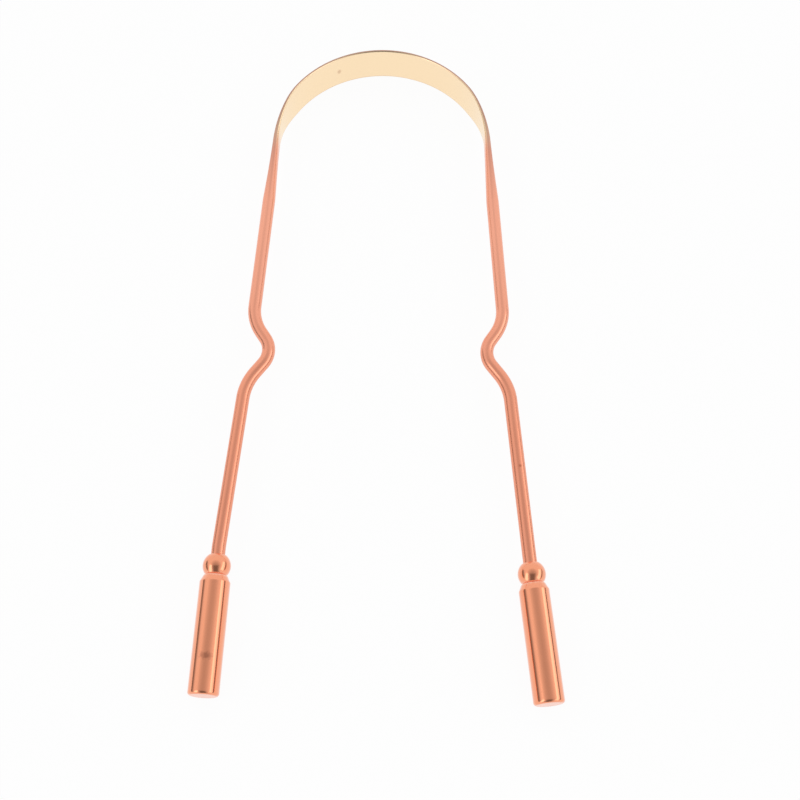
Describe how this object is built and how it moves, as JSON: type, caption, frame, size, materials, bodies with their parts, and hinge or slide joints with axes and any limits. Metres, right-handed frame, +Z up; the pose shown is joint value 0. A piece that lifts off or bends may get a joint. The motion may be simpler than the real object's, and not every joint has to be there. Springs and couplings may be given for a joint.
{
  "type": "tongue scraper",
  "caption": "U-shaped copper tongue scraper: a flattened spring-wire arch, tapering to round legs with inward kinks, and a ball bead and barrel handle on each end.",
  "frame": {"origin": "middle of the bounding box, on the table the scraper lies on", "axes": "+Y along the scraper towards its blade, +X to the right seen from above with the blade away, +Z up from the table"},
  "size_m": [0.0602, 0.1256, 0.0078],
  "materials": {
    "pressed_band": "polished copper, rolled smooth",
    "drawn_wire": "polished copper, with faint drawing lines along the wire",
    "turned_handle": "polished copper, with faint turning lines round the axis"
  },
  "bodies": {
    "blade": {"scraper_blade": "pressed_band"},
    "left_side": {"left_leg": "drawn_wire", "left_bead": "turned_handle", "left_handle": "turned_handle"},
    "right_side": {"right_leg": "drawn_wire", "right_bead": "turned_handle", "right_handle": "turned_handle"}
  },
  "joints": [
    {"name": "left_flex", "type": "hinge", "parent": "blade", "child": "left_side", "pos_m": [-0.01747, 0.05396, 0.00385], "axis": [0, -0.0112, 0.9999], "range_deg": [-6, 10], "stiffness_Nm_per_rad": 0.385},
    {"name": "right_flex", "type": "hinge", "parent": "blade", "child": "right_side", "pos_m": [0.01578, 0.05396, 0.00385], "axis": [0, 0.0112, -0.9999], "range_deg": [-6, 10], "stiffness_Nm_per_rad": 0.385}
  ]
}
